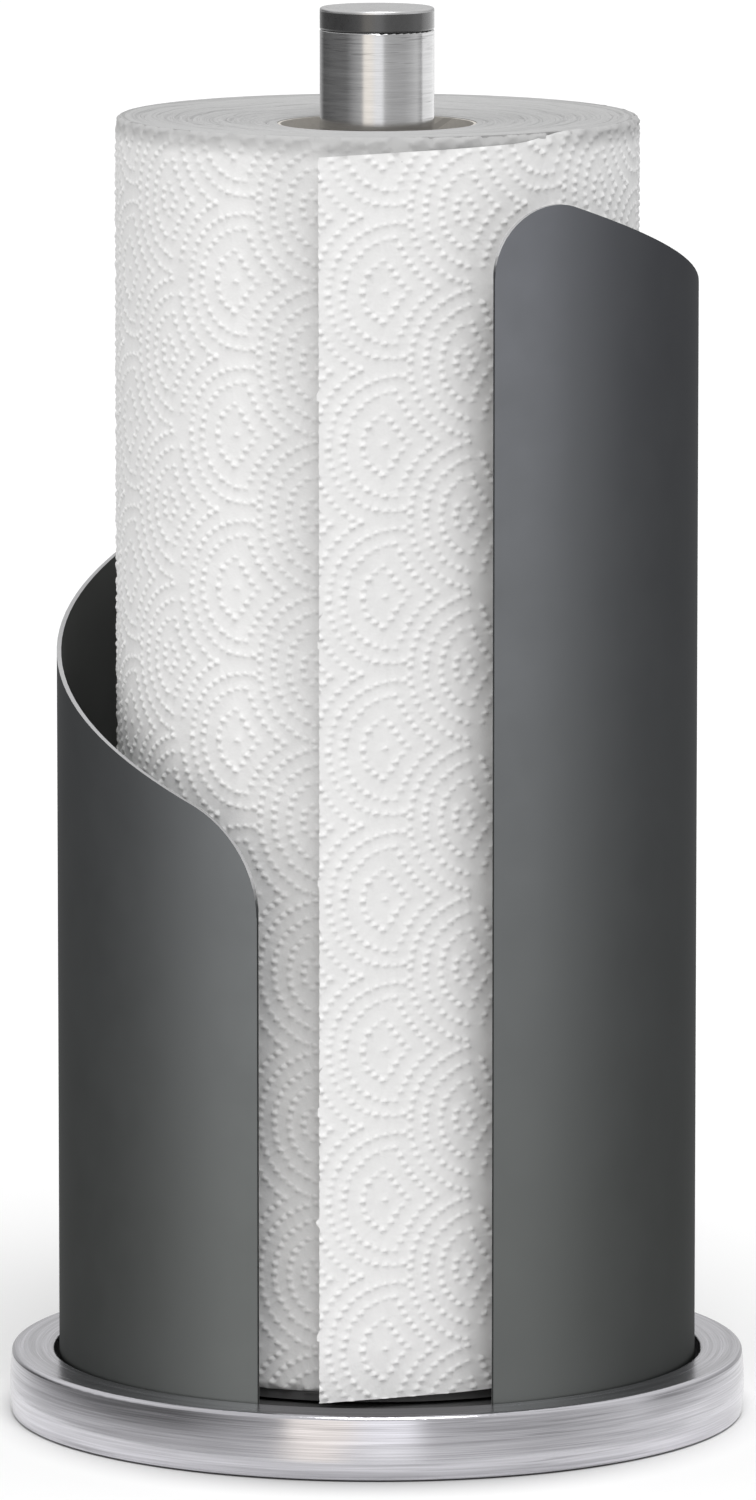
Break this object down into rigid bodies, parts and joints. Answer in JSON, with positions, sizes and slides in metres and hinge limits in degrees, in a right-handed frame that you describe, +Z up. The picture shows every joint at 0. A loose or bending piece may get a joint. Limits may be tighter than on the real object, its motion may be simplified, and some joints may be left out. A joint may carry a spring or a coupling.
{
  "type": "paper towel holder",
  "caption": "Upright paper towel holder: weighted round steel base, pole, turning seat and a wrap-round sloping sheet guard with a front slot, loaded with a towel roll.",
  "frame": {"origin": "on the table, at the middle of the round base", "axes": "+Z up along the pole, -Y out of the middle of the guard's slot, +X towards the guard's tall side"},
  "size_m": [0.1664, 0.1664, 0.3181],
  "materials": {
    "brushed_steel": "circumferentially brushed stainless steel",
    "guard_paint": "satin anthracite paint on sheet steel",
    "black_plastic": "matt black ABS",
    "collar_black": "satin black ABS",
    "rubber": "soft black rubber",
    "cast_iron": "black-painted cast iron",
    "zinc_steel": "bright zinc-plated steel",
    "white_plastic": "acetal",
    "cardboard": "grey-brown cardboard",
    "wound_paper": null,
    "paper": "embossed white tissue"
  },
  "bodies": {
    "base": {"foot_ring": "rubber", "bottom_cover": "black_plastic", "cover_screws": "zinc_steel", "base_weight": "cast_iron", "base_shell": "brushed_steel", "deck": "black_plastic", "guard": "guard_paint", "guard_screws": "zinc_steel", "pole_tube": "brushed_steel", "pole_foot_plug": "zinc_steel", "pole_washer": "zinc_steel", "pole_bolt": "zinc_steel", "cap_collar": "collar_black", "cap_disc": "brushed_steel", "seat_washer": "white_plastic", "seat_retaining_ring": "zinc_steel"},
    "roll_seat": {"roll_seat": "black_plastic"},
    "roll": {"core_tube": "cardboard", "paper_roll": "wound_paper", "loose_sheet": "paper"}
  },
  "joints": [
    {"name": "roll_spin", "type": "hinge", "parent": "base", "child": "roll_seat", "pos_m": [0, 0, 0.0149], "axis": [0, 0, 1], "continuous": true},
    {"name": "roll_lift", "type": "slide", "parent": "roll_seat", "child": "roll", "axis": [0, 0, 1], "range_m": [0, 0.31]}
  ]
}
